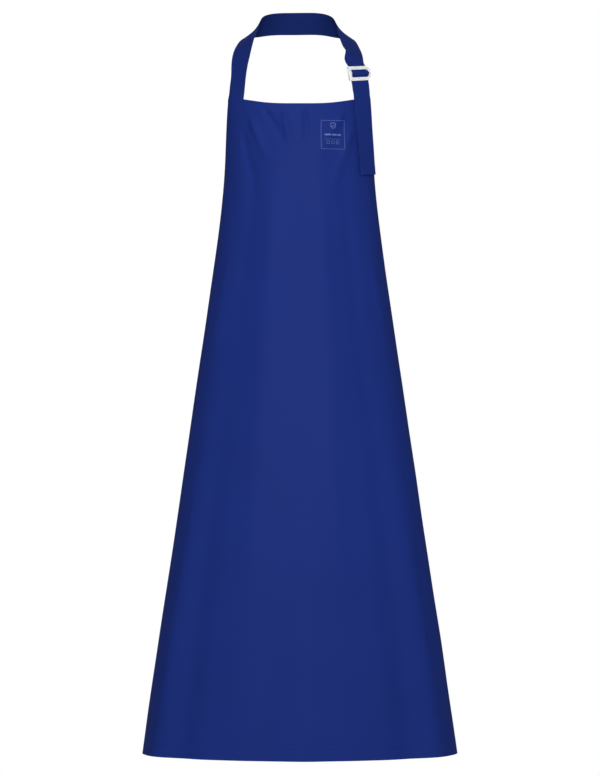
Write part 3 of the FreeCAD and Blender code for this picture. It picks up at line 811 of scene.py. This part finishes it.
# ------------------------------------------------------------------ the tab that holds the buckle
def tab():
    """Welded on the bib's left corner, up behind the buckle, round its centre bar and back."""
    (rows, normals), k, down = strap_end(1, 13)
    middle = len(k) // 2
    stations = [(rows[i, middle], normals[i, middle]) for i in (12, 8, 4, 1)]
    profile = [(3.9, -33.0), (3.9, -22.0), (3.85, -12.0), (3.3, -6.5), (2.5, -2.6)]
    profile += [(2.1 * math.cos(t), 2.1 * math.sin(t)) for t in np.radians((10, 50, 90, 130, 180, 230, 275))]
    profile += [(1.25, -2.9), (2.55, -6.5), (3.1, -11.0), (3.15, -16.0), (3.15, -22.5)]
    stations += through_buckle(profile, -1)
    path = path_through(stations, spacing=0.0015)
    here = path["centres"][:, None] + path["across"][:, None] * (k[None, :, None] * STRAP_WIDE / 2)
    welded = path["knots"][3]
    last = here[np.searchsorted(path["at"], welded)]
    columns = rows.reshape(len(rows), -1)
    offset = np.zeros_like(here)
    for i, at in enumerate(path["at"]):
        back = WELD - min(at / welded, 1.0) * WELD * 11 / 12
        row = np.array([np.interp(back, down[:, 0], column) for column in columns.T]).reshape(-1, 3)
        if at <= welded:
            offset[i] = row - here[i]
        else:
            offset[i] = (row - last) * (1 - float(smooth((at - welded) / 0.028)))
    obj = ribbon("buckle_tab", path, STRAP_WIDE, TAB_THICK, (STRAP, STRAP), offset=offset)
    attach(obj, "apron")
    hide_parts("buckle_tab_loop", "buckle_tab_anchor")
    return obj, path


tab_obj, tab_path = tab()


# ------------------------------------------------------------------ the buckle
BUCKLE_WIDE, BUCKLE_HIGH, BAR_DEEP, END_DEEP = 54.5, 27.0, 3.6, 6.2
WINDOW_WIDE, WINDOW_HIGH, BAR_RADIUS = 43.2, 14.0, 1.55


def rounded(width, height, left, right, side, corner):
    """A closed rectangle with rounded corners as (x, z): the same number of places on each side
    and corner, whatever the size, from the lower left corner's start, anticlockwise."""
    points = []
    for sx, sz, r, turn in ((-1, -1, left, 180), (1, -1, right, 270), (1, 1, right, 0), (-1, 1, left, 90)):
        cx, cz = sx * (width / 2 - r), sz * (height / 2 - r)
        angles = [math.radians(turn + 90 * i / corner) for i in range(corner + 1)]
        arc = [(cx + r * math.cos(angle), cz + r * math.sin(angle)) for angle in angles]
        if points:
            (ax, az), (bx, bz) = points[-1], arc[0]
            points += [(ax + (bx - ax) * i / side, az + (bz - az) * i / side) for i in range(1, side)]
        points += arc
    (ax, az), (bx, bz) = points[-1], points[0]
    points += [(ax + (bx - ax) * i / side, az + (bz - az) * i / side) for i in range(1, side)]
    return np.array(points)


def buckle_mesh():
    """A frame swept round its window, with a round centre bar that flares into its ends."""
    outer = rounded(BUCKLE_WIDE, BUCKLE_HIGH, 2.6, BUCKLE_HIGH / 2 - 0.5, 14, 12)
    inner = rounded(WINDOW_WIDE, WINDOW_HIGH, 0.9, 1.8, 14, 12)
    n = len(outer)
    width = np.linalg.norm(outer - inner, axis=1)
    square = smooth((-outer[:, 0] - WINDOW_WIDE / 2 - 0.2) / 1.6)
    back = BAR_DEEP / 2 + (END_DEEP - BAR_DEEP) * square
    front = np.full(n, -BAR_DEEP / 2)
    radius = 1.05
    ring = []
    for cx, cy, turn in ((0, 0, 180), (1, 0, 270), (1, 1, 0), (0, 1, 90)):
        for i in range(7):
            angle = math.radians(turn + 15 * i)
            ring.append((cx, cy, math.cos(angle), math.sin(angle)))
    points = []
    for i in range(n):
        for cx, cy, dx, dy in ring:
            across = (radius + cx * (width[i] - 2 * radius) + dx * radius) / width[i]
            depth = (back[i] - radius if cy else front[i] + radius) + dy * radius
            x, z = inner[i] + (outer[i] - inner[i]) * across
            points.append((x, depth, z))
    m = len(ring)
    faces = [(i * m + j, i * m + (j + 1) % m, ((i + 1) % n) * m + (j + 1) % m, ((i + 1) % n) * m + j)
             for i in range(n) for j in range(m)]
    base = len(points)
    half, sides, stops = WINDOW_WIDE / 2 + 2.4, 24, 25
    for i in range(stops):
        x = -half + 2 * half * i / (stops - 1)
        flare = 1 + 0.22 * math.exp(-((abs(x) - WINDOW_WIDE / 2) / 0.9) ** 2)
        for j in range(sides):
            angle = 2 * math.pi * j / sides
            points.append((x, BAR_RADIUS * flare * math.cos(angle), BAR_RADIUS * flare * math.sin(angle)))
    for i in range(stops - 1):
        for j in range(sides):
            a, b = base + i * sides + j, base + i * sides + (j + 1) % sides
            faces.append((a, a + sides, b + sides, b))
    faces.append(tuple(base + j for j in range(sides)))
    faces.append(tuple(base + (stops - 1) * sides + j for j in reversed(range(sides))))
    obj = put("slide_buckle", in_buckle(points), faces, materials=(WHITE,))
    face_outwards(obj.data)
    return obj


buckle = buckle_mesh()
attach(buckle, "buckle")
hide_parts("buckle_frame")


# ------------------------------------------------------------------ waist ties and their bow
WAIST_DROP = 0.430
KNOT = (KNOT_LOW + KNOT_HIGH) / 2
KNOT_SIZE = KNOT_HIGH - KNOT_LOW


def spread(s, length, reach, start, end):
    """0 where a ribbon is gathered, at its start or end or both, rising to 1 away from there."""
    x = np.full(np.shape(s), 1.0)
    if start:
        x = np.minimum(x, s / (reach * length))
    if end:
        x = np.minimum(x, (length - s) / (reach * length))
    return smooth(x)


def gathered(s, length, narrow, reach, start=True, end=True):
    """Widths of a ribbon drawn together at its ends."""
    return narrow + (TIE_WIDE - narrow) * spread(s, length, reach, start, end)


def pleats(full, phase, reach, length, start=True, end=True):
    """How far a gathered ribbon's folds stand out, strongest at its gathered ends."""
    def stand(k, s):
        tight = 1 - spread(s, length, reach, start, end)
        ripple = np.sin(k * 7.5 + phase) + 0.4 * np.sin(k * 13 + 2 * phase + s * 30)
        soft = 0.0007 * np.sin(k * 2.2 + s * 41 + phase) + 0.0005 * np.sin(s * 67 + 2 * phase)
        level = smooth(s / 0.02) * smooth((length - s) / 0.02 + 0.3)
        return full * tight * ripple + soft * (1 - tight) * level
    return stand


def tie_piece(name, path, node, body, widths, shape):
    obj = ribbon(name, path, widths, TIE_THICK, (TIE, TIE), columns=17, shape=shape)
    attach(obj, body)
    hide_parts(node)
    return obj


# (x, y) of a waist tie round the back, in millimetres, and the (x, y) way that it faces there
ROUND_THE_BACK = [(159, -33, 0.92, 0.39), (133, 1, 0.72, 0.69), (90, 25, 0.42, 0.91), (44, 35.5, 0.18, 0.98)]


def waist_tie(side, name):
    """From behind the side hem, round the back and into the knot."""
    cut = float(section(WAIST_DROP)[3])
    behind_hem = BEHIND - HEM_THICK - 0.0006
    stations = []
    for back in (0.030, 0.020, 0.010, 0.001):
        points, normal = on_cloth(np.array([side * (cut - back)]), np.array([WAIST_DROP]), behind_hem)
        stations.append((points[0], normal[0]))
    straight = unit(stations[-1][0] - stations[-2][0])
    stations.append((stations[-1][0] + straight * 0.012, stations[-1][1]))
    level = BIB_TOP - WAIST_DROP - 0.001
    for x, y, nx, ny in ROUND_THE_BACK:
        stations.append(((side * x / 1000, y / 1000, level), (side * nx, ny, 0)))
    stations.append(((side * (KNOT_SIZE.x / 2 - 0.004), KNOT.y - 0.0025, KNOT.z), (side * 0.03, 1, 0)))
    path = path_through(stations, 0.0025)
    length = path["run"][-1]
    path["across"] = path["across"] * np.sign(path["across"][:, 2:3])
    path["face"] = unit(np.cross(path["across"], unit(np.gradient(path["centres"], axis=0))))
    shape = pleats(0.0011, 0.6 + side, 0.16, length, start=False)
    return tie_piece("waist_tie_cloth_" + name, path, "waist_tie_" + name, "apron",
                     gathered(path["run"], length, 0.014, 0.16, start=False), shape), length


# (share of the loop's reach, millimetres behind the knot's middle), out and back again
BOW = [(0.0, -0.6), (0.07, 0.8), (0.25, 1.6), (0.6, 2.0), (0.88, 3.4), (1.0, 10.0), (0.88, 17.2), (0.6, 19.6),
       (0.25, 13.8), (0.07, 5.8), (0.0, 3.0)]


def bow_loop(side, name):
    """Out of the knot, round its far end and back into the knot."""
    droop = math.radians(24.0)
    out = np.array([side * math.cos(droop), 0, -math.sin(droop)])
    up = np.array([side * math.sin(droop), 0, math.cos(droop)])
    start = KNOT_SIZE.x / 2 - 0.003
    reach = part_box("bow_loop_" + name)
    long = max(abs(reach[0].x), abs(reach[1].x)) / math.cos(droop) - start - 0.006
    stations = []
    for i, (share, behind) in enumerate(BOW):
        before, after = BOW[max(i - 1, 0)], BOW[min(i + 1, len(BOW) - 1)]
        twist = 0.16 * side * math.sin(2 * math.pi * i / (len(BOW) - 1))
        line = np.array([0, (after[1] - before[1]) / 1000, 0]) + out * (after[0] - before[0]) * long
        face = unit(np.cross(line, up + np.array([0, twist, 0])))
        sag = -0.004 * share * math.sin(math.pi * i / (len(BOW) - 1))
        centre = np.array(KNOT) + np.array([0, behind / 1000, 0]) + out * (start + share * long) + up * sag
        stations.append((centre, face))
    path = path_through(stations, 0.002)
    length = path["run"][-1]
    shape = pleats(0.0012, 1.9 * side, 0.16, length)
    return tie_piece("bow_loop_cloth_" + name, path, "bow_loop_" + name, "apron",
                     gathered(path["run"], length, 0.013, 0.17), shape), length


# (x, millimetres back, share of its length) of a hanging end, from the knot down
TIE_TAIL = [(7.5, 4.0, 0.0), (9.0, 0.9, 0.1), (8.6, 0.6, 0.3), (9.8, 0.4, 0.55), (10.2, 1.0, 0.8),
            (11.0, 0.0, 1.0)]


def tie_tail(side, name):
    """Hangs from the knot, one end in front of the other."""
    top = KNOT_LOW.z + 0.005
    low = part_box("tie_tail_" + name)[0].z
    y = KNOT.y - 0.0065 + 0.002 * side
    stations = []
    for x, back, share in TIE_TAIL:
        centre = (side * x / 1000, y + back / 1000, top + (low - top) * share)
        stations.append((centre, (0.10 * side * math.sin(5 * share), 1, 0)))
    path = path_through(stations, 0.0025)
    length = path["run"][-1]
    shape = pleats(0.0010, 2.4 + side, 0.14, length, end=False)
    return tie_piece("tie_tail_cloth_" + name, path, "tie_tail_" + name, "tie_tail_" + name,
                     gathered(path["run"], length, 0.010, 0.12, end=False), shape), length


# (place across, depth in metres, width) of the wrap's pleats
KNOT_PLEATS = [(-0.62, 0.0011, 0.07), (-0.28, 0.0014, 0.06), (0.05, 0.0011, 0.05), (0.36, 0.0015, 0.07),
               (0.68, 0.0009, 0.06)]


def knot():
    """One turn of the tie drawn tight round the others: a pleated band with folded-in ends."""
    rings, around = 41, 72
    k = np.linspace(-1, 1, rings)
    angle = np.linspace(0, 2 * math.pi, around, endpoint=False)
    half_x, half_y, half_z = KNOT_SIZE.x / 2 * 0.97, KNOT_SIZE.y / 2, KNOT_SIZE.z / 2
    points, values, uvs = [], [], []
    for kk in k:
        taper = (1 - abs(kk) ** 3.2) ** 0.5
        for a in angle:
            c, s = math.cos(a), math.sin(a)
            soft = (abs(c) ** 2.6 + abs(s) ** 2.6) ** (-1 / 2.6)
            lean = kk + 0.10 * math.sin(a + 0.6)
            fold = 0.0
            for centre, depth, wide in KNOT_PLEATS:
                fold += depth * math.exp(-((lean - centre - 0.05 * math.sin(2 * a + 9 * centre)) / wide) ** 2)
            swell = 0.90 + 0.07 * math.cos(2.6 * kk + 0.4) - 0.03 * kk * math.sin(a)
            ry = half_y * (0.22 + 0.78 * taper) * swell * soft - fold * taper
            rz = half_z * (0.42 + 0.58 * taper) * swell * soft - fold * taper
            points.append((KNOT.x + kk * half_x, KNOT.y + ry * c, KNOT.z + rz * s))
            values.append(0.0125 * (1 - abs(kk)))
            uvs.append((kk * half_x, a * 0.012))
    faces = []
    for i in range(rings - 1):
        for j in range(around):
            a, b = i * around + j, i * around + (j + 1) % around
            faces.append((a, b, b + around, a + around))
    faces.append(tuple(reversed(range(around))))
    faces.append(tuple((rings - 1) * around + j for j in range(around)))
    obj = put("tie_knot_wrap", points, faces, uvs, (TIE,), values=values)
    face_outwards(obj.data)
    return obj


wrap = knot()
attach(wrap, "apron")
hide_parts("tie_knot")
for side, name in ((1, "left"), (-1, "right")):
    tie, tie_long = waist_tie(side, name)
    loop, loop_long = bow_loop(side, name)
    free, free_long = tie_tail(side, name)


# ------------------------------------------------------------------ light, backdrop, camera
scene = bpy.context.scene
scene.view_settings.view_transform = "Standard"
world = bpy.data.worlds.new("surroundings")
scene.world = world
world.use_nodes = True
world.node_tree.nodes["Background"].inputs["Color"].default_value = (1.0, 1.0, 1.0, 1.0)
world.node_tree.nodes["Background"].inputs["Strength"].default_value = 0.20


def area_light(name, place, target, size, power, shine=True):
    light = bpy.data.lights.new(name, "AREA")
    light.shape, light.size, light.size_y = "RECTANGLE", size[0], size[1]
    light.energy = power
    obj = bpy.data.objects.new(name, light)
    scene.collection.objects.link(obj)
    obj.location = place
    obj.rotation_euler = (Vector(target) - Vector(place)).to_track_quat("-Z", "Y").to_euler()
    obj.visible_camera = False
    obj.visible_glossy = shine


area_light("key", (0.0, -3.6, 0.10), (0.0, -0.15, -0.55), (0.8, 0.8), 80.0)
area_light("back", (0.0, 4.2, 2.9), (0.0, 0.0, -0.65), (2.4, 1.2), 80.0, shine=False)
area_light("fill_left", (-3.6, -2.2, 0.2), (0.0, -0.1, -0.7), (1.6, 3.0), 4.0)
area_light("fill_right", (3.6, -3.4, 0.2), (0.0, -0.1, -0.6), (1.2, 2.0), 8.0)


def plate(name, corners, material):
    obj = put(name, corners, [(0, 1, 2, 3)], materials=(material,))
    return obj


def plain_material(name, colour, light):
    """A flat tone for the surroundings, giving off this much light of its own."""
    material = bpy.data.materials.new(name)
    material.use_nodes = True
    shader = material.node_tree.nodes["Principled BSDF"]
    shader.inputs["Base Color"].default_value = colour
    shader.inputs["Roughness"].default_value = 0.9
    shader.inputs["Specular IOR Level"].default_value = 0.0
    shader.inputs["Emission Color"].default_value = (1.0, 1.0, 1.0, 1.0)
    shader.inputs["Emission Strength"].default_value = light
    return material


WHITE_WALL = plain_material("white_backdrop", (0.0, 0.0, 0.0, 1.0), 1.0)
PALE_FLOOR = plain_material("pale_floor", (0.6, 0.6, 0.6, 1.0), 0.5)
FAR, LOW, HIGH, FLOOR = 16, -12, 12, -4.2
CORNERS = [(-FAR, -FAR), (FAR, -FAR), (FAR, FAR), (-FAR, FAR)]
for i, (near, far) in enumerate(zip(CORNERS, CORNERS[1:] + CORNERS[:1])):
    wall = plate(f"backdrop_{i}", [(*near, LOW), (*far, LOW), (*far, HIGH), (*near, HIGH)], WHITE_WALL)
    wall.visible_diffuse = wall.visible_glossy = wall.visible_shadow = False
floor = plate("floor", [(x, y, FLOOR) for x, y in CORNERS], PALE_FLOOR)
floor.visible_diffuse = False

camera = bpy.data.cameras.new("camera")
camera.sensor_width = 36.0
camera.lens = 137.0
camera.clip_end = 100.0
eye = bpy.data.objects.new("camera", camera)
scene.collection.objects.link(eye)
eye.location = (0.0011, -5.59, -0.689)
eye.rotation_euler = (math.radians(90), 0, 0)
scene.camera = eye
